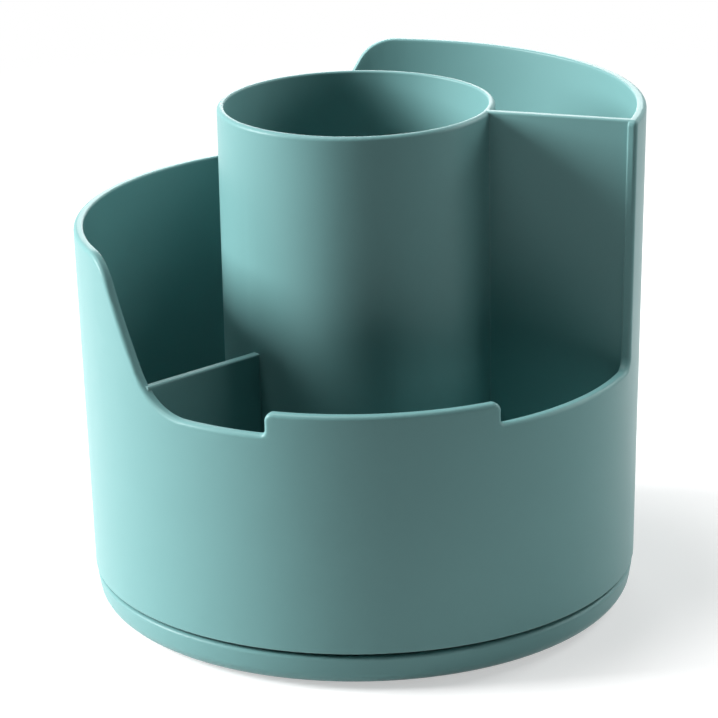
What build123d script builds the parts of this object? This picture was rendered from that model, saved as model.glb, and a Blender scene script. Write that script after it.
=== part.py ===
# Rotating pen holder: a moulded drum of compartments that turns on a low round base.
# Millimetres, +Z up. The origin is on the axis of rotation, on the surface that the feet stand on.
# Angles are in degrees, anticlockwise from +X, seen from above. The front of the holder faces -Y.
from build123d import *
import os
from math import asin, cos, degrees, radians, sin, sqrt, tan

# Heights of the drum's rims and of the slot that it turns over
tall_rim_height = 124.8
medium_rim_height = 96.8
low_rim_height = 63.4
tab_rise = 5.5
turn_gap = 1.0

# Drum shell
drum_rim_radius = 70.0
drum_draft = 1.02
rim_draft = 1.04
rim_band_drop = 6.0
drum_wall = 2.4
drum_floor = 2.6
drum_skirt = 0.86
rim_outer_round = 1.0
rim_inner_round = 0.5
drum_foot_round = 0.4
corner_round = 1.5

# Places where the rim steps up or down, and the shape of the steps
back_sweep_angle = 93.2
left_sweep_angle = 216.0
sweep_slope = 60.0
sweep_shoulder_round = 11.0
sweep_foot_round = 17.0
tab_start_angle = 250.9
tab_end_angle = 297.8
tab_shoulder_round = 2.1
tab_foot_round = 1.2
tall_end_angle = 340.1
end_shoulder_round = 1.4
end_foot_round = 3.0

# Round cup in the middle of the drum
cup_radius = 33.7
cup_wall = 1.7
cup_draft = 0.4
cup_outer_round = 1.0
cup_inner_round = 0.5

# Dividers between the cup and the shell
divider_wall = 2.2
divider_round = 0.5
divider_setback = 0.8
divider_count = 3

# Base
base_inset = 0.23
base_taper = 1.2
base_floor = 2.6
base_wall = 2.2
base_rim_round = 0.8
base_foot_round = 4.5
base_corner_round = 2.5

# Feet
foot_count = 4
foot_edge_margin = 3.0
foot_radius = 5.0
foot_thickness = 2.0
foot_drop = 0.8
foot_round = 0.4
foot_clearance = 0.05
first_foot_angle = 45.0

# Ball bearing
ball_count = 10
ball_radius = 3.0
race_circle_radius = 40.0
race_width = 10.0
race_thickness = 2.0
race_seat_depth = 0.6
race_clearance = 0.05
race_edge_round = 0.3
groove_clearance = 0.2
groove_depth = 0.9
ball_play = 0.03
cage_width = 9.0
cage_thickness = 2.0
cage_pocket_clearance = 0.15

# Pivot that holds the drum down
spigot_radius = 4.5
spigot_clearance = 0.06
bush_wall = 1.5
bush_clearance = 0.02
bush_flange_radius = 8.5
bush_flange = 1.0
shoulder_radius = 8.0
shoulder_gap = 0.3
hub_wall = 2.2
hub_roof = 2.2
washer_radius = 8.0
pocket_clearance = 1.0
washer_thickness = 0.8
slip_washer_thickness = 0.5
slip_washer_clearance = 0.3
slip_gap = 0.05
screw_radius = 1.75
screw_length = 7.0
screw_head_radius = 3.6
screw_head = 2.0
screw_head_round = 0.8
screw_hole_clearance = 0.15
screw_thread_clearance = 0.02
pilot_extra_depth = 0.5
screw_tip_chamfer = 0.4
screw_recess_length = 4.2
screw_recess_width = 0.9
screw_recess_depth = 1.1
cap_ledge = 1.2
cap_thickness = 1.2
cap_clearance = 0.05
cap_round = 0.3
cap_head_gap = 0.4

# Allowances that only shape the bodies that cut the rim
cut_clearance = 1.0
level_overlap = 8.0

# Heights that follow, from the table upwards
base_bottom = foot_drop
base_floor_top = base_bottom + base_floor
lower_race_bottom = base_floor_top - race_seat_depth
lower_race_top = lower_race_bottom + race_thickness
ball_centre_height = lower_race_top - groove_depth + ball_play + ball_radius
upper_race_bottom = ball_centre_height + ball_radius + ball_play - groove_depth
upper_race_top = upper_race_bottom + race_thickness
drum_floor_bottom = upper_race_top - race_seat_depth
drum_floor_top = drum_floor_bottom + drum_floor
drum_bottom = drum_floor_bottom - drum_skirt
base_rim_height = drum_bottom - turn_gap
tab_height = low_rim_height + tab_rise
rim_band_bottom = low_rim_height - rim_band_drop
cap_top = base_bottom + cap_thickness
screw_head_bottom = cap_top + cap_head_gap
screw_head_top = screw_head_bottom + screw_head
spigot_bottom = screw_head_top + washer_thickness
slip_washer_bottom = spigot_bottom + slip_gap
pocket_roof = slip_washer_bottom + slip_washer_thickness + slip_gap
hub_top = pocket_roof + hub_roof
bush_top = hub_top + bush_flange
shoulder_bottom = bush_top + shoulder_gap

# Radii that follow
draft_slope = tan(radians(drum_draft))
rim_slope = tan(radians(rim_draft))
bush_bore_radius = spigot_radius + spigot_clearance
bush_radius = bush_bore_radius + bush_wall
race_inner_radius = race_circle_radius - race_width / 2
race_outer_radius = race_circle_radius + race_width / 2
groove_radius = ball_radius + groove_clearance
pocket_radius = washer_radius + pocket_clearance
cap_radius = pocket_radius + cap_ledge


def shell_radius(height):
    """Outside radius of the tapered drum at a height. It tapers a little more in its rim band."""
    below_band = max(rim_band_bottom - height, 0.0)
    in_band = tall_rim_height - height - below_band
    return drum_rim_radius - in_band * rim_slope - below_band * draft_slope


base_radius = shell_radius(drum_bottom) - base_inset
base_foot_radius = base_radius - base_taper
foot_circle_radius = base_foot_radius - base_foot_round - foot_edge_margin - foot_radius


def upright_plane(angle, depth=0.0):
    """Plane that faces outwards at an angle round the axis, with its Y up."""
    outward = Vector(cos(radians(angle)), sin(radians(angle)), 0)
    sideways = Vector(-sin(radians(angle)), cos(radians(angle)), 0)
    return Plane(origin=outward * depth, x_dir=sideways, z_dir=outward)


def radial_plane(angle):
    """Plane that holds the axis, with its X outwards at an angle and its Y up."""
    outward = Vector(cos(radians(angle)), sin(radians(angle)), 0)
    sideways = Vector(-sin(radians(angle)), cos(radians(angle)), 0)
    return Plane(origin=(0, 0, 0), x_dir=outward, z_dir=-sideways)


# Each step in the rim: its angle, the heights before and after it going anticlockwise,
# the slope of its face and the rounding at its upper and lower corner
rim_steps = [
    (back_sweep_angle, tall_rim_height, medium_rim_height,
     sweep_slope, sweep_shoulder_round, sweep_foot_round),
    (left_sweep_angle, medium_rim_height, low_rim_height,
     sweep_slope, sweep_shoulder_round, sweep_foot_round),
    (tab_start_angle, low_rim_height, tab_height, 90.0, tab_shoulder_round, tab_foot_round),
    (tab_end_angle, tab_height, low_rim_height, 90.0, tab_shoulder_round, tab_foot_round),
    (tall_end_angle, low_rim_height, tall_rim_height, 90.0, end_shoulder_round, end_foot_round),
]


def step_reach(step):
    """Sideways distances from the middle of a step to the level rim, before and after it."""
    before, after, slope, shoulder, foot = step[1:]
    half_run = abs(before - after) / 2 / tan(radians(slope))
    upper = half_run + shoulder * tan(radians(slope / 2))
    lower = half_run + foot * tan(radians(slope / 2))
    return (upper, lower) if before > after else (lower, upper)


def rim_height(step, angle):
    """Height of the rim where it falls over a step, at an angle beside the step's own."""
    before, after, slope, shoulder, foot = step[1:]
    sideways = shell_radius((before + after) / 2) * sin(radians(angle - step[0]))
    past_shoulder = max(sideways + step_reach(step)[0], 0.0)
    before_foot = max(step_reach(step)[1] - sideways, 0.0)
    if past_shoulder < shoulder * sin(radians(slope)):
        return before - shoulder + sqrt(shoulder**2 - past_shoulder**2)
    if before_foot < foot * sin(radians(slope)):
        return after + foot - sqrt(foot**2 - before_foot**2)
    return (before + after) / 2 - sideways * tan(radians(slope))


# Body that cuts the stepped rim out of a plain ring: one piece across each step, and level pieces between
cut_top = tall_rim_height + 2 * level_overlap
cut_inside = shell_radius(drum_bottom) - drum_wall - cut_clearance
cut_outside = drum_rim_radius + cut_clearance


def level_turn(reach):
    """Angle from the middle of a step to where the level piece beside it may start."""
    return degrees(asin((reach + level_overlap / 4) / cut_inside))


with BuildPart() as rim_cutter:
    for step in rim_steps:
        angle, before, after, slope, shoulder, foot = step
        half_run = abs(before - after) / 2 / tan(radians(slope))
        start = -step_reach(step)[0] - level_overlap
        end = step_reach(step)[1] + level_overlap
        corner_rounds = [shoulder, foot] if before > after else [foot, shoulder]
        with BuildSketch(upright_plane(angle, cup_radius)):
            with BuildLine():
                FilletPolyline(
                    (start, before),
                    (-half_run, before),
                    (half_run, after),
                    (end, after),
                    radius=corner_rounds,
                )
                Polyline((end, after), (end, cut_top), (start, cut_top), (start, before))
            make_face()
        extrude(amount=cut_outside - cup_radius)
    for here, ahead in zip(rim_steps, rim_steps[1:] + rim_steps[:1]):
        level = here[2]
        start_angle = here[0] + level_turn(step_reach(here)[1])
        end_angle = ahead[0] - level_turn(step_reach(ahead)[0])
        with BuildSketch(radial_plane(start_angle)):
            with BuildLine():
                Polyline(
                    (cut_inside, level),
                    (cut_outside, level),
                    (cut_outside, cut_top),
                    (cut_inside, cut_top),
                    close=True,
                )
            make_face()
        revolve(axis=Axis.Z, revolution_arc=(end_angle - start_angle) % 360)


def depth_in_shell(point):
    """Distance of a point inwards from the shell's outer surface."""
    return shell_radius(point.Z) - Vector(point.X, point.Y).length


def rim_edges(ring, depth):
    """Edges of a cut ring's rim that run at a depth inside the outer surface."""
    rim_faces = ring.faces().filter_by(GeomType.REVOLUTION, reverse=True).filter_by(
        lambda face: face.center().Z > rim_band_bottom
    )
    return rim_faces.edges().filter_by(
        lambda edge: abs(depth_in_shell(edge @ 0.5) - depth) < drum_wall / 8
    )


# Tapered shell with its stepped rim. The sides of its rim band are splines, so that the roundings
# along the rim are free-form faces, which keep their shape in a mesh
ring_top = tall_rim_height + level_overlap
with BuildPart() as shell:
    with BuildSketch(Plane.XZ):
        with BuildLine():
            outer_side = Bezier(
                (shell_radius(rim_band_bottom), rim_band_bottom), (shell_radius(ring_top), ring_top)
            )
            inner_side = Bezier(
                (shell_radius(rim_band_bottom) - drum_wall, rim_band_bottom),
                (shell_radius(ring_top) - drum_wall, ring_top),
            )
            Polyline(
                outer_side @ 0,
                (shell_radius(drum_bottom), drum_bottom),
                (shell_radius(drum_bottom) - drum_wall, drum_bottom),
                inner_side @ 0,
            )
            Line(inner_side @ 1, outer_side @ 1)
        make_face()
    revolve(axis=Axis.Z)
    fillet(shell.edges().group_by(Axis.Z)[0].sort_by(SortBy.LENGTH)[-1], drum_foot_round)
    add(rim_cutter.part, mode=Mode.SUBTRACT)
    fillet(rim_edges(shell, 0.0), rim_outer_round)
    fillet(rim_edges(shell, drum_wall), rim_inner_round)

# Cup with its floor
with BuildPart() as cup:
    cup_bore_radius = cup_radius - cup_wall
    cup_bore_taper = (tall_rim_height - drum_floor_top) * tan(radians(cup_draft))
    with BuildSketch(Plane.XZ) as cup_profile:
        with BuildLine():
            cup_rim = Bezier((cup_bore_radius, tall_rim_height), (cup_radius, tall_rim_height))
            Polyline(
                cup_rim @ 1,
                (cup_radius, drum_floor_bottom),
                (0, drum_floor_bottom),
                (0, drum_floor_top),
                (cup_bore_radius - cup_bore_taper, drum_floor_top),
                cup_rim @ 0,
            )
        make_face()
        fillet(cup_profile.vertices().group_by(Axis.Y)[1].sort_by(Axis.X)[-1], corner_round)
    revolve(axis=Axis.Z)
    fillet(cup.edges().group_by(Axis.Z)[-1].sort_by(SortBy.LENGTH)[-1], cup_outer_round)
    fillet(cup.edges().group_by(Axis.Z)[-1].sort_by(SortBy.LENGTH)[-2], cup_inner_round)

# Dividers, each one's angle and height: the first stands just behind the end of the tall wall
# and is as high as it, and the others end where they meet the falling rim
divider_reach = shell_radius(tall_rim_height) - drum_wall
first_divider_angle = tall_end_angle + degrees(
    asin((divider_setback + divider_wall / 2) / divider_reach)
)
divider_turn = 360 / divider_count
left_divider_angle = first_divider_angle - divider_turn
back_divider_angle = left_divider_angle - divider_turn
dividers = [
    (first_divider_angle, tall_rim_height),
    (left_divider_angle, rim_height(rim_steps[1], left_divider_angle)),
    (back_divider_angle, rim_height(rim_steps[0], back_divider_angle)),
]


def make_divider(angle, height):
    """Flat wall from the flat of the cup's rim to inside the shell's wall, rounded along its top."""
    inner_end = cup_radius - (cup_wall + cup_outer_round - cup_inner_round) / 2
    with BuildPart() as divider:
        with BuildSketch(radial_plane(angle)):
            with BuildLine():
                Polyline(
                    (inner_end, drum_floor_bottom),
                    (shell_radius(drum_floor_bottom) - drum_wall / 2, drum_floor_bottom),
                    (shell_radius(height) - drum_wall / 2, height),
                    (inner_end, height),
                    close=True,
                )
            make_face()
        extrude(amount=divider_wall / 2, both=True)
        top_edges = divider.faces().sort_by(Axis.Z)[-1].edges().sort_by(SortBy.LENGTH)
        fillet(top_edges[-2:], divider_round)
    return divider.part


# Space of the outer compartments near the floor, rounded along its lower edges
with BuildPart() as compartments:
    space_top = drum_floor_top + 2 * corner_round
    with BuildSketch(Plane.XZ):
        with BuildLine():
            Polyline(
                (cup_radius, drum_floor_top),
                (shell_radius(drum_floor_top) - drum_wall, drum_floor_top),
                (shell_radius(space_top) - drum_wall, space_top),
                (cup_radius, space_top),
                close=True,
            )
        make_face()
    revolve(axis=Axis.Z)
    for divider_angle, divider_height in dividers:
        with BuildSketch(radial_plane(divider_angle)):
            with BuildLine():
                Polyline(
                    (0, drum_floor_bottom),
                    (drum_rim_radius, drum_floor_bottom),
                    (drum_rim_radius, space_top + corner_round),
                    (0, space_top + corner_round),
                    close=True,
                )
            make_face()
        extrude(amount=divider_wall / 2, both=True, mode=Mode.SUBTRACT)
    fillet(compartments.edges().group_by(Axis.Z)[0], corner_round)

# Drum: one moulding of shell, floor, cup and dividers, with the spigot that it turns on
with BuildPart() as drum:
    add(shell.part)
    with BuildSketch(Plane.XY.offset(drum_floor_bottom)):
        Circle(shell_radius(drum_floor_bottom) - drum_wall / 2)
        Circle(cup_radius - cup_wall / 2, mode=Mode.SUBTRACT)
    extrude(amount=drum_floor + corner_round)
    add(cup.part)
    for divider_angle, divider_height in dividers:
        add(make_divider(divider_angle, divider_height))
    add(compartments.part, mode=Mode.SUBTRACT)
    with BuildSketch(Plane.XY.offset(drum_floor_bottom)):
        Circle(race_outer_radius + race_clearance)
        Circle(race_inner_radius - race_clearance, mode=Mode.SUBTRACT)
    extrude(amount=race_seat_depth, mode=Mode.SUBTRACT)
    with BuildSketch(Plane.XY.offset(shoulder_bottom)):
        Circle(shoulder_radius)
    extrude(amount=drum_floor_bottom - shoulder_bottom)
    with BuildSketch(Plane.XY.offset(spigot_bottom)):
        Circle(spigot_radius)
    extrude(amount=drum_floor_bottom - spigot_bottom)
    with BuildSketch(Plane.XY.offset(spigot_bottom)):
        Circle(screw_radius + screw_thread_clearance)
    extrude(amount=screw_length - washer_thickness + pilot_extra_depth, mode=Mode.SUBTRACT)

# Base: a low dish with a raised hub, open below for the screw, and pockets for the feet
foot_pocket_depth = foot_thickness - foot_drop
base_side_slope = (base_radius - base_foot_radius) / (base_rim_height - base_bottom)
with BuildPart() as base:
    with BuildSketch(Plane.XZ):
        with BuildLine():
            outer_side = Bezier((base_foot_radius, base_bottom), (base_radius, base_rim_height))
            inner_side = Bezier(
                (base_foot_radius + base_floor * base_side_slope - base_wall, base_floor_top),
                (base_radius - base_wall, base_rim_height),
            )
            Line(outer_side @ 1, inner_side @ 1)
            Polyline(inner_side @ 0, (0, base_floor_top), (0, base_bottom), outer_side @ 0)
        make_face()
    revolve(axis=Axis.Z)
    fillet(base.edges().group_by(Axis.Z)[-1], base_rim_round)
    fillet(base.edges().filter_by(GeomType.CIRCLE).group_by(Axis.Z)[1], base_corner_round)
    fillet(base.edges().filter_by(GeomType.CIRCLE).group_by(Axis.Z)[0], base_foot_round)
    with BuildSketch(Plane.XY.offset(base_bottom)):
        Circle(pocket_radius + hub_wall)
    extrude(amount=hub_top - base_bottom)
    with BuildSketch(Plane.XY.offset(base_bottom)):
        Circle(cap_radius + cap_clearance)
    extrude(amount=cap_thickness, mode=Mode.SUBTRACT)
    with BuildSketch(Plane.XY.offset(base_bottom)):
        Circle(pocket_radius)
    extrude(amount=pocket_roof - base_bottom, mode=Mode.SUBTRACT)
    with BuildSketch(Plane.XY.offset(pocket_roof)):
        Circle(bush_radius + bush_clearance)
    extrude(amount=hub_roof, mode=Mode.SUBTRACT)
    with BuildSketch(Plane.XY.offset(lower_race_bottom)):
        Circle(race_outer_radius + race_clearance)
        Circle(race_inner_radius - race_clearance, mode=Mode.SUBTRACT)
    extrude(amount=race_seat_depth, mode=Mode.SUBTRACT)
    with BuildSketch(Plane.XY.offset(base_bottom)):
        with PolarLocations(foot_circle_radius, foot_count, start_angle=first_foot_angle):
            Circle(foot_radius + foot_clearance)
    extrude(amount=foot_pocket_depth, mode=Mode.SUBTRACT)


def make_race(bottom, groove_centre):
    """Steel ring with a round groove that the balls roll in."""
    with BuildPart() as race:
        with BuildSketch(Plane.XZ) as race_profile:
            with Locations((race_circle_radius, bottom + race_thickness / 2)):
                Rectangle(race_width, race_thickness)
            fillet(race_profile.vertices(), race_edge_round)
            with Locations((race_circle_radius, groove_centre)):
                Circle(groove_radius, mode=Mode.SUBTRACT)
        revolve(axis=Axis.Z)
    return race.part


def make_washer(bottom, thickness, inner_radius, outer_radius):
    """Flat ring on the axis."""
    with BuildPart() as washer:
        with BuildSketch(Plane.XY.offset(bottom)):
            Circle(outer_radius)
            Circle(inner_radius, mode=Mode.SUBTRACT)
        extrude(amount=thickness)
    return washer.part


# Ball cage: a flat ring with a pocket for each ball
with BuildPart() as ball_cage:
    with BuildSketch(Plane.XY.offset(ball_centre_height - cage_thickness / 2)):
        Circle(race_circle_radius + cage_width / 2)
        Circle(race_circle_radius - cage_width / 2, mode=Mode.SUBTRACT)
        with PolarLocations(race_circle_radius, ball_count):
            Circle(ball_radius + cage_pocket_clearance, mode=Mode.SUBTRACT)
    extrude(amount=cage_thickness)


def make_ball(angle):
    """Steel ball between the grooves."""
    x = race_circle_radius * cos(radians(angle))
    y = race_circle_radius * sin(radians(angle))
    with BuildPart() as ball:
        with Locations((x, y, ball_centre_height)):
            Sphere(ball_radius)
    return ball.part


# Flanged bush that lines the hub
with BuildPart() as pivot_bush:
    with BuildSketch(Plane.XY.offset(pocket_roof)):
        Circle(bush_radius)
        Circle(bush_bore_radius, mode=Mode.SUBTRACT)
    extrude(amount=hub_roof)
    with BuildSketch(Plane.XY.offset(hub_top)):
        Circle(bush_flange_radius)
        Circle(bush_bore_radius, mode=Mode.SUBTRACT)
    extrude(amount=bush_flange)

# Screw that enters the spigot from below, with a cross recess in its head
with BuildPart() as pivot_screw:
    with BuildSketch(Plane.XY.offset(screw_head_bottom)):
        Circle(screw_head_radius)
    extrude(amount=screw_head)
    fillet(pivot_screw.edges().sort_by(Axis.Z)[0], screw_head_round)
    with BuildSketch(Plane.XY.offset(screw_head_top)):
        Circle(screw_radius)
    extrude(amount=screw_length)
    chamfer(pivot_screw.edges().sort_by(Axis.Z)[-1], screw_tip_chamfer)
    with BuildSketch(Plane.XY.offset(screw_head_bottom)):
        Rectangle(screw_recess_length, screw_recess_width)
        Rectangle(screw_recess_width, screw_recess_length)
    extrude(amount=screw_recess_depth, mode=Mode.SUBTRACT)

# Cap that closes the screw's pocket, flush with the underside
with BuildPart() as screw_cap:
    with BuildSketch(Plane.XY.offset(base_bottom)):
        Circle(cap_radius)
    extrude(amount=cap_thickness)
    fillet(screw_cap.edges().sort_by(Axis.Z)[0], cap_round)


def make_foot(angle):
    """Round foot that sits in a pocket of the base."""
    with BuildPart() as foot:
        with BuildSketch(Plane.XY):
            with PolarLocations(foot_circle_radius, 1, start_angle=angle):
                Circle(foot_radius)
        extrude(amount=foot_thickness)
        fillet(foot.edges().sort_by(Axis.Z)[0], foot_round)
    return foot.part


pieces = {
    "drum": drum.part,
    "base": base.part,
    "lower_race": make_race(
        lower_race_bottom, lower_race_top - groove_depth + groove_radius
    ),
    "upper_race": make_race(
        upper_race_bottom, upper_race_bottom + groove_depth - groove_radius
    ),
    "ball_cage": ball_cage.part,
    "pivot_bush": pivot_bush.part,
    "slip_washer": make_washer(
        slip_washer_bottom,
        slip_washer_thickness,
        spigot_radius + slip_washer_clearance,
        washer_radius,
    ),
    "pivot_washer": make_washer(
        screw_head_top, washer_thickness, screw_radius + screw_hole_clearance, washer_radius
    ),
    "pivot_screw": pivot_screw.part,
    "screw_cap": screw_cap.part,
}
for number in range(ball_count):
    pieces[f"ball_{number + 1:02d}"] = make_ball(number * 360 / ball_count)
for number in range(foot_count):
    pieces[f"foot_{number + 1}"] = make_foot(first_foot_angle + number * 360 / foot_count)

os.makedirs("parts", exist_ok=True)
for name, piece in pieces.items():
    piece.label = name
    export_step(piece, f"parts/{name}.step")
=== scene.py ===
from math import cos, pi, radians, sin

import bmesh
import bpy
from bpy.props import (
    FloatProperty,
    FloatVectorProperty,
    PointerProperty,
)
from mathutils import Matrix, Vector


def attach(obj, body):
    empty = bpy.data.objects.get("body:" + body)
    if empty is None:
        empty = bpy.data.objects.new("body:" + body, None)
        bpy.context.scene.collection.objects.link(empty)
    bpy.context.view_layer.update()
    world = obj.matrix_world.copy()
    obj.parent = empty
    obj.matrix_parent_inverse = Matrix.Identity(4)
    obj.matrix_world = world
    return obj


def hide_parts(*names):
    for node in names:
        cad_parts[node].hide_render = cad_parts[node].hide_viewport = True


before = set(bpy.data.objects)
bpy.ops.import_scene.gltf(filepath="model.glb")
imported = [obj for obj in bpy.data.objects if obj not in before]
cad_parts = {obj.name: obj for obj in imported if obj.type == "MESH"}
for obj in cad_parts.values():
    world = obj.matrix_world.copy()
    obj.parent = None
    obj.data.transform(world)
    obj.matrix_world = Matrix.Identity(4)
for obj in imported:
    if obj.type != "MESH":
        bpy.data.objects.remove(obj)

bl_info = {
    "name": "Rotating pen holder",
    "version": (1, 0, 0),
    "blender": (4, 5, 0),
    "location": "3D View > Sidebar > Pen Holder",
    "description": "Finishes and moulding details for a drum of compartments on a turning base",
    "category": "Object",
}


# Settings


class PENHOLDER_PG_moulding(bpy.types.PropertyGroup):
    """Colour and surface of the two large mouldings."""

    drum_colour: FloatVectorProperty(
        name="Drum colour",
        description="Colour of the plastic of the drum",
        subtype="COLOR",
        size=3,
        min=0.0,
        max=1.0,
        default=(0.15, 0.32, 0.32),
    )
    base_colour: FloatVectorProperty(
        name="Base colour",
        description="Colour of the plastic of the base and its cap",
        subtype="COLOR",
        size=3,
        min=0.0,
        max=1.0,
        default=(0.15, 0.32, 0.32),
    )
    roughness: FloatProperty(
        name="Roughness",
        description="Roughness of the satin surface",
        default=0.38,
        min=0.0,
        max=1.0,
    )
    shine: FloatProperty(
        name="Shine",
        description="Strength of the surface's reflection",
        default=0.2,
        min=0.0,
        max=1.0,
    )
    roughness_change: FloatProperty(
        name="Roughness change",
        description="How far the roughness wanders over the surface",
        default=0.05,
        min=0.0,
        max=0.5,
    )
    tone_change: FloatProperty(
        name="Tone change",
        description="How far the colour lightens and darkens over the surface",
        default=0.03,
        min=0.0,
        max=0.5,
    )
    grain_size: FloatProperty(
        name="Grain size",
        description="Width of the grains that the mould's surface leaves",
        default=0.0004,
        min=0.00005,
        max=0.01,
        unit="LENGTH",
        precision=5,
    )
    grain_depth: FloatProperty(
        name="Grain depth",
        description="Depth of the grain",
        default=0.000012,
        min=0.0,
        max=0.001,
        unit="LENGTH",
        precision=6,
    )
    # The next two settings shape a painted highlight: a paler band of colour along the convex
    # edges.
    edge_width: FloatProperty(
        name="Edge width",
        description="Width of the painted highlight band along the edges",
        default=0.0007,
        min=0.0,
        max=0.01,
        unit="LENGTH",
        precision=5,
    )
    painted_edge_highlight: FloatProperty(
        name="Edge lightening",
        description="How far the painted edge highlights are lighter than the rest",
        default=0.28,
        min=0.0,
        max=1.0,
    )


class PENHOLDER_PG_marks(bpy.types.PropertyGroup):
    """Marks of the moulds on the floors and under the base, and the grooves under the feet."""

    floor_height: FloatProperty(
        name="Floor height",
        description="Height of the floor of the drum's compartments",
        default=0.01306,
        unit="LENGTH",
        precision=5,
    )
    underside_height: FloatProperty(
        name="Underside height",
        description="Height of the flat underside of the base",
        default=0.0008,
        unit="LENGTH",
        precision=5,
    )
    mark_height: FloatProperty(
        name="Mark height",
        description="How far a mark stands out of its surface",
        default=0.00007,
        min=0.0,
        unit="LENGTH",
        precision=5,
    )
    mark_depth: FloatProperty(
        name="Mark depth",
        description="How far a mark reaches into the wall that it is part of",
        default=0.0003,
        min=0.0,
        unit="LENGTH",
        precision=5,
    )
    pin_radius: FloatProperty(
        name="Pin radius",
        description="Radius of the pins that pushed the mouldings out",
        default=0.003,
        min=0.0,
        unit="LENGTH",
        precision=4,
    )
    gate_radius: FloatProperty(
        name="Gate radius",
        description="Radius of the ring where the plastic flowed in",
        default=0.0022,
        min=0.0,
        unit="LENGTH",
        precision=4,
    )
    foot_radius: FloatProperty(
        name="Foot radius",
        description="Radius of a rubber foot",
        default=0.005,
        min=0.0,
        unit="LENGTH",
        precision=4,
    )
    foot_thickness: FloatProperty(
        name="Foot thickness",
        description="Thickness of a rubber foot",
        default=0.002,
        min=0.0,
        unit="LENGTH",
        precision=4,
    )
    foot_edge: FloatProperty(
        name="Foot edge",
        description="Rounding of a foot's lower edge",
        default=0.0004,
        min=0.0,
        unit="LENGTH",
        precision=5,
    )
    groove_width: FloatProperty(
        name="Groove width",
        description="Width of the ring grooves under a foot",
        default=0.0006,
        min=0.0,
        unit="LENGTH",
        precision=5,
    )
    groove_depth: FloatProperty(
        name="Groove depth",
        description="Depth of the ring grooves under a foot",
        default=0.0004,
        min=0.0,
        unit="LENGTH",
        precision=5,
    )


class PENHOLDER_PG_stage(bpy.types.PropertyGroup):
    """Camera, room light and floor."""

    camera_distance: FloatProperty(
        name="Camera distance",
        description="Distance from the camera to the point that it looks at",
        default=0.76963,
        min=0.1,
        unit="LENGTH",
    )
    camera_elevation: FloatProperty(
        name="Camera elevation",
        description="Angle by which the camera looks down",
        default=radians(18.879),
        subtype="ANGLE",
    )
    camera_roll: FloatProperty(
        name="Camera roll",
        description="Turn of the camera about its line of sight",
        default=radians(-1.112),
        subtype="ANGLE",
    )
    target_height: FloatProperty(
        name="Target height",
        description="Height on the axis that the camera looks at",
        default=0.0591,
        unit="LENGTH",
    )
    focal_length: FloatProperty(
        name="Focal length",
        description="Focal length of the lens in millimetres",
        default=155.28,
        min=1.0,
    )
    shift: FloatVectorProperty(
        name="Lens shift",
        description="Sideways and upward shift of the lens as a share of the frame",
        size=2,
        default=(-0.0027, 0.0007),
    )
    world_strength: FloatProperty(
        name="Room light",
        description="Strength of the even light of the room",
        default=0.0,
        min=0.0,
    )
    floor_colour: FloatVectorProperty(
        name="Floor colour",
        description="Colour of the floor",
        subtype="COLOR",
        size=3,
        min=0.0,
        max=1.0,
        default=(0.62, 0.62, 0.62),
    )
    floor_glow: FloatProperty(
        name="Floor glow",
        description="How far the floor is lifted towards white where the camera sees it",
        default=0.48,
        min=0.0,
    )
    shadow_reach: FloatProperty(
        name="Shadow reach",
        description="Distance from the object's axis at which the floor's shadows start to fade",
        default=0.2,
        min=0.05,
        unit="LENGTH",
    )
    shadow_end: FloatProperty(
        name="Shadow end",
        description="Distance from the object's axis from which the floor is plain white",
        default=0.6,
        min=0.1,
        unit="LENGTH",
    )


class PENHOLDER_PG_settings(bpy.types.PropertyGroup):
    """All that can be changed."""

    moulding: PointerProperty(type=PENHOLDER_PG_moulding)
    marks: PointerProperty(type=PENHOLDER_PG_marks)
    stage: PointerProperty(type=PENHOLDER_PG_stage)


# Shader groups
SPECK_SIZE = 6.0  # specks, as a multiple of the grain
SPECK_SHARE = 0.4  # how much the specks add to the slow change
# Samples and contrast of the mask for the painted highlight along the edges
EDGE_SAMPLES = 4
EDGE_CONTRAST = 6.0
RING_DETAIL = 3.0


def node_group(name, inputs, outputs):
    """Empty shader group with named sockets: (name, kind) and, for an input, its default."""
    tree = bpy.data.node_groups.new(name, "ShaderNodeTree")
    for socket_name, kind, default in inputs:
        socket = tree.interface.new_socket(name=socket_name, in_out="INPUT", socket_type=kind)
        socket.default_value = default
    for socket_name, kind in outputs:
        tree.interface.new_socket(name=socket_name, in_out="OUTPUT", socket_type=kind)
    return tree, tree.nodes.new("NodeGroupInput").outputs, tree.nodes.new("NodeGroupOutput").inputs


def maths(tree, operation, first, second=0.0, clamp=False):
    """Math node with its inputs linked or set; gives its output."""
    node = tree.nodes.new("ShaderNodeMath")
    node.operation = operation
    node.use_clamp = clamp
    for socket, value in zip(node.inputs, (first, second)):
        if isinstance(value, bpy.types.NodeSocket):
            tree.links.new(value, socket)
        else:
            socket.default_value = value
    return node.outputs[0]


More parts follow.
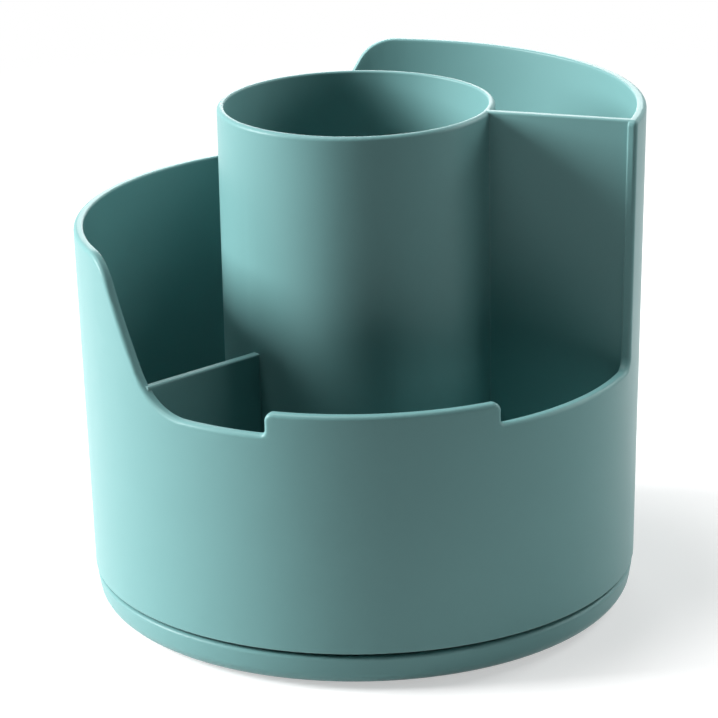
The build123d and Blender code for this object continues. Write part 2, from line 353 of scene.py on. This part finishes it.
def mould_grain_group():
    """Fine grain and slow change of tone and gloss that a moulded surface has."""
    tree, given, result = node_group(
        "Mould grain",
        [
            ("Colour", "NodeSocketColor", (0.5, 0.5, 0.5, 1.0)),
            ("Tone Change", "NodeSocketFloat", 0.03),
            ("Roughness", "NodeSocketFloat", 0.4),
            ("Roughness Change", "NodeSocketFloat", 0.05),
            ("Grain Size", "NodeSocketFloat", 0.0004),
            ("Flow Size", "NodeSocketFloat", 0.03),
        ],
        [
            ("Colour", "NodeSocketColor"),
            ("Roughness", "NodeSocketFloat"),
            ("Height", "NodeSocketFloat"),
        ],
    )
    place = tree.nodes.new("ShaderNodeTexCoord").outputs["Object"]

    def noise(size, detail, roughness):
        node = tree.nodes.new("ShaderNodeTexNoise")
        node.inputs["Detail"].default_value = detail
        node.inputs["Roughness"].default_value = roughness
        tree.links.new(place, node.inputs["Vector"])
        tree.links.new(maths(tree, "DIVIDE", 1.0, size), node.inputs["Scale"])
        return node.outputs["Fac"]

    grain = noise(given["Grain Size"], detail=2.0, roughness=0.6)
    flow = noise(given["Flow Size"], detail=3.0, roughness=0.5)
    speck_size = maths(tree, "MULTIPLY", given["Grain Size"], SPECK_SIZE)
    speck = noise(speck_size, detail=2.0, roughness=0.5)
    centred_flow = maths(tree, "SUBTRACT", flow, 0.5)
    centred_speck = maths(tree, "SUBTRACT", speck, 0.5)
    specks = maths(tree, "MULTIPLY", centred_speck, SPECK_SHARE)
    change = maths(tree, "ADD", centred_flow, specks)
    tone = maths(tree, "ADD", 1.0, maths(tree, "MULTIPLY", change, given["Tone Change"]))
    tinted = tree.nodes.new("ShaderNodeVectorMath")
    tinted.operation = "SCALE"
    tree.links.new(given["Colour"], tinted.inputs[0])
    tree.links.new(tone, tinted.inputs["Scale"])
    tree.links.new(tinted.outputs[0], result["Colour"])
    wander = maths(tree, "MULTIPLY", change, given["Roughness Change"])
    tree.links.new(maths(tree, "ADD", given["Roughness"], wander), result["Roughness"])
    tree.links.new(grain, result["Height"])
    return tree


def painted_highlight_edge_group():
    """Mask of the convex edges, where a painted highlight lightens the colour."""
    tree, given, result = node_group(
        "Painted edge highlight",
        [("Width", "NodeSocketFloat", 0.0007), ("Amount", "NodeSocketFloat", 0.1)],
        [("Mask", "NodeSocketFloat")],
    )
    bevel = tree.nodes.new("ShaderNodeBevel")
    bevel.samples = EDGE_SAMPLES
    tree.links.new(given["Width"], bevel.inputs["Radius"])
    geometry = tree.nodes.new("ShaderNodeNewGeometry")
    agreement = tree.nodes.new("ShaderNodeVectorMath")
    agreement.operation = "DOT_PRODUCT"
    tree.links.new(bevel.outputs["Normal"], agreement.inputs[0])
    tree.links.new(geometry.outputs["Normal"], agreement.inputs[1])
    turned = maths(tree, "SUBTRACT", 1.0, agreement.outputs["Value"])
    strong = maths(tree, "MULTIPLY", turned, EDGE_CONTRAST, clamp=True)
    tree.links.new(maths(tree, "MULTIPLY", strong, given["Amount"]), result["Mask"])
    return tree


def turned_marks_group():
    """Fine rings about the axis that a lathe or grinding wheel leaves on metal."""
    tree, given, result = node_group(
        "Turned marks",
        [
            ("Spacing", "NodeSocketFloat", 0.0002),
            ("Roughness", "NodeSocketFloat", 0.25),
            ("Roughness Change", "NodeSocketFloat", 0.1),
        ],
        [("Roughness", "NodeSocketFloat"), ("Height", "NodeSocketFloat")],
    )
    place = tree.nodes.new("ShaderNodeTexCoord").outputs["Object"]
    flat = tree.nodes.new("ShaderNodeVectorMath")
    flat.operation = "MULTIPLY"
    flat.inputs[1].default_value = (1.0, 1.0, 0.0)
    tree.links.new(place, flat.inputs[0])
    reach = tree.nodes.new("ShaderNodeVectorMath")
    reach.operation = "LENGTH"
    tree.links.new(flat.outputs[0], reach.inputs[0])
    rings = tree.nodes.new("ShaderNodeTexNoise")
    rings.noise_dimensions = "1D"
    rings.inputs["Detail"].default_value = RING_DETAIL
    tree.links.new(reach.outputs["Value"], rings.inputs["W"])
    tree.links.new(maths(tree, "DIVIDE", 1.0, given["Spacing"]), rings.inputs["Scale"])
    centred = maths(tree, "SUBTRACT", rings.outputs["Fac"], 0.5)
    wander = maths(tree, "MULTIPLY", centred, given["Roughness Change"])
    tree.links.new(maths(tree, "ADD", given["Roughness"], wander), result["Roughness"])
    tree.links.new(rings.outputs["Fac"], result["Height"])
    return tree


def shared_group(name, maker):
    """The group of that name, built on its first use."""
    return bpy.data.node_groups.get(name) or maker()


def place_group(material, name, maker, **values):
    """Group node in a material, with its inputs set; an underscore stands for a space."""
    node = material.node_tree.nodes.new("ShaderNodeGroup")
    node.node_tree = shared_group(name, maker)
    for key, value in values.items():
        node.inputs[key.replace("_", " ")].default_value = value
    return node


def add_bump(material, height, depth):
    """Bump of a real depth in metres from a height between 0 and 1."""
    tree = material.node_tree
    bump = tree.nodes.new("ShaderNodeBump")
    bump.inputs["Strength"].default_value = 1.0
    bump.inputs["Distance"].default_value = depth
    tree.links.new(height, bump.inputs["Height"])
    tree.links.new(bump.outputs["Normal"], shader_of(material).inputs["Normal"])


def shader_of(material):
    """The material's Principled BSDF."""
    return material.node_tree.nodes["Principled BSDF"]


def new_material(name):
    """Material with its node tree and its Principled BSDF."""
    material = bpy.data.materials.new(name)
    material.use_nodes = True
    return material, material.node_tree, shader_of(material)


# Materials
PAINTED_HIGHLIGHT_PALENESS = 0.35  # how far the painted highlight on the edges takes the colour towards white
RING_GLOSS_CHANGE = 0.12
METAL_TONE_CHANGE = 0.12
METAL_GRAIN_SIZE = 0.0003
METAL_FLOW_SIZE = 0.012
SMALL_PIECE_FLOW_SIZE = 0.01


def moulded_plastic(name, colour, settings):
    """Satin moulded plastic: fine grain, slow change of tone, and a painted highlight that makes
    the convex edges paler.
    """
    material, tree, shader = new_material(name)
    grain = place_group(
        material,
        "Mould grain",
        mould_grain_group,
        Colour=(*colour, 1.0),
        Tone_Change=settings.tone_change,
        Roughness=settings.roughness,
        Roughness_Change=settings.roughness_change,
        Grain_Size=settings.grain_size,
    )
    # Painted highlight: the convex edges get a paler colour, mixed in by the edge mask.
    edge = place_group(
        material,
        "Painted edge highlight",
        painted_highlight_edge_group,
        Width=settings.edge_width,
        Amount=settings.painted_edge_highlight,
    )
    paler = (value + (1.0 - value) * PAINTED_HIGHLIGHT_PALENESS for value in colour)
    mix = tree.nodes.new("ShaderNodeMix")
    mix.data_type = "RGBA"
    mix.inputs["B"].default_value = (*paler, 1.0)
    tree.links.new(edge.outputs["Mask"], mix.inputs["Factor"])
    tree.links.new(grain.outputs["Colour"], mix.inputs["A"])
    tree.links.new(mix.outputs["Result"], shader.inputs["Base Color"])
    tree.links.new(grain.outputs["Roughness"], shader.inputs["Roughness"])
    shader.inputs["Specular IOR Level"].default_value = settings.shine
    add_bump(material, grain.outputs["Height"], settings.grain_depth)
    return material


def turned_metal(name, colour, roughness, spacing, depth):
    """Metal with the fine rings of turning or grinding."""
    material, tree, shader = new_material(name)
    marks = place_group(
        material,
        "Turned marks",
        turned_marks_group,
        Spacing=spacing,
        Roughness=roughness,
        Roughness_Change=RING_GLOSS_CHANGE,
    )
    tint = place_group(
        material,
        "Mould grain",
        mould_grain_group,
        Colour=(*colour, 1.0),
        Tone_Change=METAL_TONE_CHANGE,
        Grain_Size=METAL_GRAIN_SIZE,
        Flow_Size=METAL_FLOW_SIZE,
    )
    tree.links.new(tint.outputs["Colour"], shader.inputs["Base Color"])
    tree.links.new(marks.outputs["Roughness"], shader.inputs["Roughness"])
    shader.inputs["Metallic"].default_value = 1.0
    add_bump(material, marks.outputs["Height"], depth)
    return material


def grained_material(name, colour, tone_change, roughness, roughness_change, grain_size, depth):
    """Plain moulded or ground finish with its own grain."""
    material, tree, shader = new_material(name)
    grain = place_group(
        material,
        "Mould grain",
        mould_grain_group,
        Colour=(*colour, 1.0),
        Tone_Change=tone_change,
        Roughness=roughness,
        Roughness_Change=roughness_change,
        Grain_Size=grain_size,
        Flow_Size=SMALL_PIECE_FLOW_SIZE,
    )
    tree.links.new(grain.outputs["Colour"], shader.inputs["Base Color"])
    tree.links.new(grain.outputs["Roughness"], shader.inputs["Roughness"])
    add_bump(material, grain.outputs["Height"], depth)
    return material


# Shading of the CAD nodes: how near border points join, the angle from which an edge stays
# sharp, and how much more the large faces count than the small ones
JOIN_DISTANCE = 1e-6
SHARP_ANGLE = radians(50)
LEVEL_WEIGHT = 50


def shade_evenly(node):
    """Join a node's faces along their borders, so that its roundings shade without a break."""
    join = node.modifiers.new("Join borders", "WELD")
    join.merge_threshold = JOIN_DISTANCE
    corners = node.modifiers.new("Keep corners", "EDGE_SPLIT")
    corners.use_edge_sharp = False
    corners.split_angle = SHARP_ANGLE
    shading = node.modifiers.new("Even shading", "WEIGHTED_NORMAL")
    shading.mode = "FACE_AREA"
    shading.weight = LEVEL_WEIGHT


def finish_nodes(names, material):
    """Give CAD nodes even shading, and a material in every slot."""
    for name in names:
        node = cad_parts[name]
        shade_evenly(node)
        for index in range(len(node.material_slots)):
            node.material_slots[index].material = material


# Turned shapes
TURN_STEPS = 96


def turned_piece(name, profile, centres, material):
    """Object of equal closed shapes: a profile of (radius, height) turned about each centre.

    The profile starts and ends on the axis.
    """
    shape = bmesh.new()
    for x, y in centres:
        rings = []
        for radius, height in profile:
            steps = TURN_STEPS if radius > 0.0 else 1
            angles = (2 * pi * step / steps for step in range(steps))
            places = ((x + radius * cos(a), y + radius * sin(a), height) for a in angles)
            rings.append([shape.verts.new(place) for place in places])
        for here, ahead in zip(rings, rings[1:]):
            for step in range(TURN_STEPS):
                corners = [
                    here[step % len(here)],
                    here[(step + 1) % TURN_STEPS % len(here)],
                    ahead[(step + 1) % TURN_STEPS % len(ahead)],
                    ahead[step % len(ahead)],
                ]
                shape.faces.new(list(dict.fromkeys(corners)))
    bmesh.ops.recalc_face_normals(shape, faces=shape.faces)
    for face in shape.faces:
        face.smooth = True
    mesh = bpy.data.meshes.new(name)
    shape.to_mesh(mesh)
    shape.free()
    mesh.materials.append(material)
    piece = bpy.data.objects.new(name, mesh)
    bpy.context.scene.collection.objects.link(piece)
    corners = piece.modifiers.new("Keep corners", "EDGE_SPLIT")
    corners.use_edge_sharp = False
    corners.split_angle = SHARP_ANGLE
    return piece


def polar(radius, degrees_round):
    """Point at a radius and an angle in degrees from +X."""
    return radius * cos(radians(degrees_round)), radius * sin(radians(degrees_round))


def arc(centre, radius, start, end, steps):
    """Points of an arc in a profile, between two angles in degrees."""
    turns = (start + (end - start) * step / steps for step in range(steps + 1))
    return [
        (centre[0] + radius * cos(radians(turn)), centre[1] + radius * sin(radians(turn)))
        for turn in turns
    ]


def pin_profile(radius, surface, rise, depth):
    """Low disc with a softened edge and a fine groove inside it, as an ejector pin leaves it.

    Each slope is as wide as the mark is high.
    """
    edge = abs(rise)
    top = surface + rise
    return [
        (0.0, surface - depth),
        (radius, surface - depth),
        (radius, surface),
        (radius - edge / 3, surface + rise * 2 / 3),
        (radius - edge, top),
        (radius - 4 * edge, top),
        (radius - 5 * edge, top - rise / 2),
        (radius - 6 * edge, top),
        (0.0, top),
    ]


# Outline of a gate mark from its edge to its middle: share of its radius, multiple of its height
GATE_OUTLINE = [
    (1.0, 0.0),
    (0.92, 1.0),
    (0.78, 1.0),
    (0.70, 0.2),
    (0.32, 0.2),
    (0.26, 1.3),
    (0.14, 1.7),
    (0.0, 1.6),
]


def gate_profile(radius, surface, rise, depth):
    """Shallow ring with a broken-off nib in its middle, where the plastic flowed in."""
    below = [(0.0, surface - depth), (radius, surface - depth)]
    return below + [(radius * share, surface + rise * height) for share, height in GATE_OUTLINE]


# Where the marks are: radius from the axis and angle in degrees from +X
COMPARTMENT_PINS = [
    (0.0496, middle + offset)
    for middle in (41.7, 161.7, 281.7)
    for offset in (-38.0, 0.0, 38.0)
]
CUP_PINS = [(0.021, 30.0), (0.021, 150.0), (0.021, 270.0)]
CUP_GATE = [(0.0, 0.0)]
UNDERSIDE_PINS = [(0.054, turn) for turn in (0.0, 90.0, 180.0, 270.0)] + [
    (0.030, turn) for turn in (45.0, 135.0, 225.0, 315.0)
]
UNDERSIDE_GATES = [(0.042, 22.5), (0.042, 202.5)]
FOOT_PLACES = [(0.054, turn) for turn in (45.0, 135.0, 225.0, 315.0)]


# Operators


class PENHOLDER_OT_finish_drum(bpy.types.Operator):
    """Give the drum its satin plastic and the marks of its mould."""

    bl_idname = "penholder.finish_drum"
    bl_label = "Finish the drum"

    def execute(self, context):
        settings = context.scene.pen_holder.moulding
        plastic = moulded_plastic("Drum plastic", settings.drum_colour, settings)
        finish_nodes(["drum"], plastic)
        marks = context.scene.pen_holder.marks
        surface, rise, depth = marks.floor_height, marks.mark_height, marks.mark_depth
        pins = turned_piece(
            "drum_pin_marks",
            pin_profile(marks.pin_radius, surface, rise, depth),
            [polar(*place) for place in COMPARTMENT_PINS + CUP_PINS],
            plastic,
        )
        gate = turned_piece(
            "drum_gate_mark",
            gate_profile(marks.gate_radius, surface, rise, depth),
            [polar(*place) for place in CUP_GATE],
            plastic,
        )
        for piece in (pins, gate):
            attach(piece, "drum")
        return {"FINISHED"}


class PENHOLDER_OT_finish_base(bpy.types.Operator):
    """Give the base and the cap under it their plastic, and the base the marks of its mould."""

    bl_idname = "penholder.finish_base"
    bl_label = "Finish the base"

    def execute(self, context):
        settings = context.scene.pen_holder.moulding
        plastic = moulded_plastic("Base plastic", settings.base_colour, settings)
        finish_nodes(["base", "screw_cap"], plastic)
        marks = context.scene.pen_holder.marks
        surface, rise, depth = marks.underside_height, -marks.mark_height, -marks.mark_depth
        pins = turned_piece(
            "base_pin_marks",
            pin_profile(marks.pin_radius, surface, rise, depth),
            [polar(*place) for place in UNDERSIDE_PINS],
            plastic,
        )
        gates = turned_piece(
            "base_gate_marks",
            gate_profile(marks.gate_radius, surface, rise, depth),
            [polar(*place) for place in UNDERSIDE_GATES],
            plastic,
        )
        for piece in (pins, gates):
            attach(piece, "base")
        return {"FINISHED"}


class PENHOLDER_OT_finish_bearing(bpy.types.Operator):
    """Give the races, the balls and the cage their steel and nylon."""

    bl_idname = "penholder.finish_bearing"
    bl_label = "Finish the bearing"

    def execute(self, context):
        race_steel = turned_metal(
            "Race steel",
            colour=(0.52, 0.53, 0.55),
            roughness=0.3,
            spacing=0.0002,
            depth=0.000004,
        )
        finish_nodes(["lower_race", "upper_race"], race_steel)
        ball_steel = grained_material(
            "Ball steel",
            colour=(0.62, 0.63, 0.65),
            tone_change=0.04,
            roughness=0.1,
            roughness_change=0.08,
            grain_size=0.0005,
            depth=0.0000004,
        )
        shader_of(ball_steel).inputs["Metallic"].default_value = 1.0
        rolling = [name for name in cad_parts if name.startswith("ball_")]
        finish_nodes([name for name in rolling if name != "ball_cage"], ball_steel)
        nylon = grained_material(
            "Cage nylon",
            colour=(0.74, 0.71, 0.62),
            tone_change=0.06,
            roughness=0.45,
            roughness_change=0.1,
            grain_size=0.0006,
            depth=0.000008,
        )
        shader = shader_of(nylon)
        shader.inputs["Subsurface Weight"].default_value = 0.15
        shader.inputs["Subsurface Radius"].default_value = (1.0, 0.9, 0.7)
        shader.inputs["Subsurface Scale"].default_value = 0.001
        finish_nodes(["ball_cage"], nylon)
        return {"FINISHED"}


class PENHOLDER_OT_finish_pivot(bpy.types.Operator):
    """Give the bush, the washers and the screw their acetal and plated steel."""

    bl_idname = "penholder.finish_pivot"
    bl_label = "Finish the pivot"

    def execute(self, context):
        acetal = grained_material(
            "Bush acetal",
            colour=(0.78, 0.77, 0.74),
            tone_change=0.03,
            roughness=0.36,
            roughness_change=0.08,
            grain_size=0.0005,
            depth=0.000005,
        )
        finish_nodes(["pivot_bush", "slip_washer"], acetal)
        plated_steel = turned_metal(
            "Plated steel",
            colour=(0.60, 0.61, 0.62),
            roughness=0.32,
            spacing=0.00015,
            depth=0.000005,
        )
        finish_nodes(["pivot_washer", "pivot_screw"], plated_steel)
        return {"FINISHED"}


FOOT_GROOVES = (0.66, 0.32)  # where the ring grooves run, as a share of the foot's radius
FOOT_EDGE_STEPS = 6


def foot_profile(marks):
    """Round foot with a rounded lower edge and two ring grooves in the face that it stands on."""
    side, top, edge = marks.foot_radius, marks.foot_thickness, marks.foot_edge
    width, depth = marks.groove_width, marks.groove_depth
    corner = width / 6
    points = [(0.0, top), (side - corner, top), (side, top - corner)]
    points += arc((side - edge, edge), edge, 0.0, -90.0, FOOT_EDGE_STEPS)
    for share in FOOT_GROOVES:
        outer, inner = side * share + width / 2, side * share - width / 2
        points += [(outer + corner, 0.0), (outer, corner), (outer - corner, depth)]
        points += [(inner + corner, depth), (inner, corner), (inner - corner, 0.0)]
    return points + [(0.0, 0.0)]


class PENHOLDER_OT_make_feet(bpy.types.Operator):
    """Make the rubber feet, each with its grooves."""

    bl_idname = "penholder.make_feet"
    bl_label = "Make the feet"

    def execute(self, context):
        rubber = grained_material(
            "Foot rubber",
            colour=(0.035, 0.036, 0.037),
            tone_change=0.25,
            roughness=0.8,
            roughness_change=0.15,
            grain_size=0.0004,
            depth=0.00003,
        )
        profile = foot_profile(context.scene.pen_holder.marks)
        for number, place in enumerate(FOOT_PLACES, start=1):
            foot = turned_piece(f"rubber_foot_{number}", profile, [polar(*place)], rubber)
            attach(foot, "base")
            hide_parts(f"foot_{number}")
        return {"FINISHED"}


# Stage: reach of the floor, and each lamp's name, direction round the object from the camera's
# side, height angle and power. All the lamps are as far away and as large, and aim at one height
FLOOR_REACH = 6.0
FLOOR_PARTS = 8
FLOOR_ROUGHNESS = 0.9
LAMP_DISTANCE = 1.2
LAMP_SIZE = 0.5
LAMP_AIM_HEIGHT = 0.06
LAMPS = [
    ("Key lamp", -90.0, 22.0, 29.5),
    ("Side lamp", 90.0, 12.0, 4.0),
    ("Rim lamp", 120.0, 35.0, 5.0),
    ("Back lamp", 180.0, 12.0, 4.0),
    ("Top lamp", -100.0, 75.0, 8.5),
]
SENSOR_WIDTH = 36.0


class PENHOLDER_OT_set_stage(bpy.types.Operator):
    """Put in the floor, the room light, the lamps and the camera."""

    bl_idname = "penholder.set_stage"
    bl_label = "Set the stage"

    def execute(self, context):
        settings = context.scene.pen_holder.stage
        add_floor(settings)
        light_room(settings)
        for lamp in LAMPS:
            add_lamp(*lamp)
        add_camera(settings)
        context.scene.view_settings.view_transform = "Standard"
        return {"FINISHED"}


def shown_rays(tree):
    """1 for rays that show the background: from the camera, or by reflection or through glass."""
    rays = tree.nodes.new("ShaderNodeLightPath").outputs
    seen = maths(tree, "MAXIMUM", rays["Is Camera Ray"], rays["Is Glossy Ray"])
    return maths(tree, "MAXIMUM", seen, rays["Is Transmission Ray"])


def add_floor(settings):
    """Wide pale floor that keeps the object's shadow and is plain white far from it."""
    mesh = bpy.data.meshes.new("Floor")
    shape = bmesh.new()
    bmesh.ops.create_grid(
        shape, x_segments=FLOOR_PARTS, y_segments=FLOOR_PARTS, size=FLOOR_REACH
    )
    shape.to_mesh(mesh)
    shape.free()
    floor = bpy.data.objects.new("Floor", mesh)
    bpy.context.scene.collection.objects.link(floor)
    material, tree, shader = new_material("Floor")
    reach = tree.nodes.new("ShaderNodeVectorMath")
    reach.operation = "LENGTH"
    tree.links.new(tree.nodes.new("ShaderNodeTexCoord").outputs["Object"], reach.inputs[0])
    fade = tree.nodes.new("ShaderNodeMapRange")
    fade.interpolation_type = "SMOOTHSTEP"
    fade.inputs["From Min"].default_value = settings.shadow_reach
    fade.inputs["From Max"].default_value = settings.shadow_end
    tree.links.new(reach.outputs["Value"], fade.inputs["Value"])
    far = fade.outputs["Result"]
    tint = tree.nodes.new("ShaderNodeVectorMath")
    tint.operation = "SCALE"
    tint.inputs[0].default_value = settings.floor_colour
    tree.links.new(maths(tree, "SUBTRACT", 1.0, far), tint.inputs["Scale"])
    tree.links.new(tint.outputs[0], shader.inputs["Base Color"])
    shader.inputs["Roughness"].default_value = FLOOR_ROUGHNESS
    shader.inputs["Specular IOR Level"].default_value = 0.0
    shader.inputs["Emission Color"].default_value = (1.0, 1.0, 1.0, 1.0)
    lift = maths(tree, "MULTIPLY", far, 1.0 - settings.floor_glow)
    strength = maths(tree, "ADD", lift, settings.floor_glow)
    glow = maths(tree, "MULTIPLY", shown_rays(tree), strength)
    tree.links.new(glow, shader.inputs["Emission Strength"])
    mesh.materials.append(material)


def light_room(settings):
    """Even light from all round, white where it is seen."""
    world = bpy.data.worlds.new("Room")
    bpy.context.scene.world = world
    world.use_nodes = True
    tree = world.node_tree
    background = tree.nodes["Background"]
    background.inputs["Color"].default_value = (1.0, 1.0, 1.0, 1.0)
    lift = maths(tree, "MULTIPLY", shown_rays(tree), 1.0 - settings.world_strength)
    total = maths(tree, "ADD", lift, settings.world_strength)
    tree.links.new(total, background.inputs["Strength"])


def add_lamp(name, azimuth, elevation, power):
    """Square soft lamp that faces the object."""
    lamp = bpy.data.lights.new(name, "AREA")
    lamp.shape = "SQUARE"
    lamp.size = LAMP_SIZE
    lamp.energy = power
    place = bpy.data.objects.new(name, lamp)
    bpy.context.scene.collection.objects.link(place)
    across = LAMP_DISTANCE * cos(radians(elevation))
    offset = Vector(
        (
            across * sin(radians(azimuth)),
            -across * cos(radians(azimuth)),
            LAMP_DISTANCE * sin(radians(elevation)),
        )
    )
    place.location = Vector((0.0, 0.0, LAMP_AIM_HEIGHT)) + offset
    place.rotation_euler = offset.to_track_quat("Z", "Y").to_euler()
    place.visible_camera = False


def add_camera(settings):
    """Camera at the photograph's viewing angle."""
    lens = bpy.data.cameras.new("Camera")
    lens.lens = settings.focal_length
    lens.sensor_width = SENSOR_WIDTH
    lens.shift_x, lens.shift_y = settings.shift
    camera = bpy.data.objects.new("Camera", lens)
    bpy.context.scene.collection.objects.link(camera)
    tilt = Matrix.Rotation(pi / 2 - settings.camera_elevation, 4, "X")
    turn = Matrix.Rotation(settings.camera_roll, 4, "Z")
    camera.rotation_euler = (tilt @ turn).to_euler()
    camera.location = (
        0.0,
        -settings.camera_distance * cos(settings.camera_elevation),
        settings.target_height + settings.camera_distance * sin(settings.camera_elevation),
    )
    bpy.context.scene.camera = camera


class PENHOLDER_PT_panel(bpy.types.Panel):
    """Settings and steps of the pen holder."""

    bl_idname = "PENHOLDER_PT_panel"
    bl_label = "Pen holder"
    bl_space_type = "VIEW_3D"
    bl_region_type = "UI"
    bl_category = "Pen Holder"

    def draw(self, context):
        layout = self.layout
        for step in STEPS:
            layout.operator(step.bl_idname)
        settings = context.scene.pen_holder
        for group in (settings.moulding, settings.marks, settings.stage):
            box = layout.box()
            for key in group.bl_rna.properties.keys():
                if key not in ("rna_type", "name"):
                    box.prop(group, key)


STEPS = (
    PENHOLDER_OT_finish_drum,
    PENHOLDER_OT_finish_base,
    PENHOLDER_OT_finish_bearing,
    PENHOLDER_OT_finish_pivot,
    PENHOLDER_OT_make_feet,
    PENHOLDER_OT_set_stage,
)
CLASSES = (
    PENHOLDER_PG_moulding,
    PENHOLDER_PG_marks,
    PENHOLDER_PG_stage,
    PENHOLDER_PG_settings,
    *STEPS,
    PENHOLDER_PT_panel,
)


def register():
    """Register the classes and the scene's settings."""
    for cls in CLASSES:
        bpy.utils.register_class(cls)
    bpy.types.Scene.pen_holder = PointerProperty(type=PENHOLDER_PG_settings)


def unregister():
    """Take the settings and the classes away again."""
    del bpy.types.Scene.pen_holder
    for cls in reversed(CLASSES):
        bpy.utils.unregister_class(cls)


def main():
    """Build the whole scene."""
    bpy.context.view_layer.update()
    register()
    bpy.ops.penholder.finish_drum()
    bpy.ops.penholder.finish_base()
    bpy.ops.penholder.finish_bearing()
    bpy.ops.penholder.finish_pivot()
    bpy.ops.penholder.make_feet()
    bpy.ops.penholder.set_stage()


if __name__ == "__main__":
    main()
